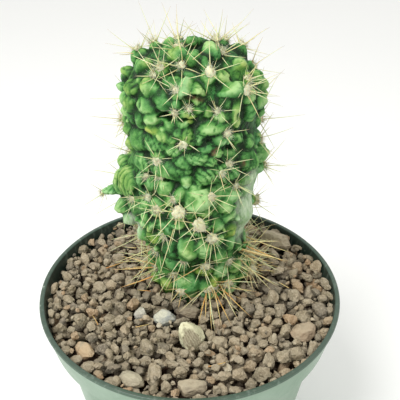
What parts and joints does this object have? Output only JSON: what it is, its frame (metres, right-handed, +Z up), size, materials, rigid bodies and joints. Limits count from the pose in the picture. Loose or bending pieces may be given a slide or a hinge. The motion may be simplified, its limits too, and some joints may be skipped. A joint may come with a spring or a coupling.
{
  "type": "potted crested cactus",
  "caption": "Crested barrel cactus with knobbly tubercles, woolly areoles and long straw spines, standing in a round tapered nursery pot dressed with coarse grit.",
  "frame": {"origin": "middle of the pot's underside, in the plane that it stands on", "axes": "+Z up along the pot's axis and the plant; the plant's pictured front faces -Y"},
  "size_m": [0.14, 0.14, 0.2372],
  "materials": {
    "pot": "satin moulded plastic, pale mint outside, dark green on the lip and inside",
    "soil": "matte, crumbly potting mix",
    "gravel": "matte broken grit in mixed tans and browns",
    "cactus": "satin living skin with cream wool and straw spines",
    "stone_cream": "matte cream stone with dark streaks",
    "stone_grey": "matte grey stone",
    "stone_rust": "matte grey-brown stone",
    "stone_mottled": "matte white and blue-grey mottled stone",
    "stone_white": "matte pale grey pebble",
    "stone_tan": "matte tan stone",
    "stone_slab": "matte orange-tan stone",
    "stone_buff": "matte buff stone",
    "stone_pale": "matte pale tan stone"
  },
  "bodies": {
    "root": {"pot": "pot", "soil": "soil", "gravel": "gravel", "cactus": "cactus", "stone_cream": "stone_cream", "stone_grey": "stone_grey", "stone_rust": "stone_rust", "stone_mottled": "stone_mottled", "stone_white": "stone_white", "stone_tan": "stone_tan", "stone_slab": "stone_slab", "stone_buff": "stone_buff", "stone_pale": "stone_pale"}
  },
  "joints": []
}
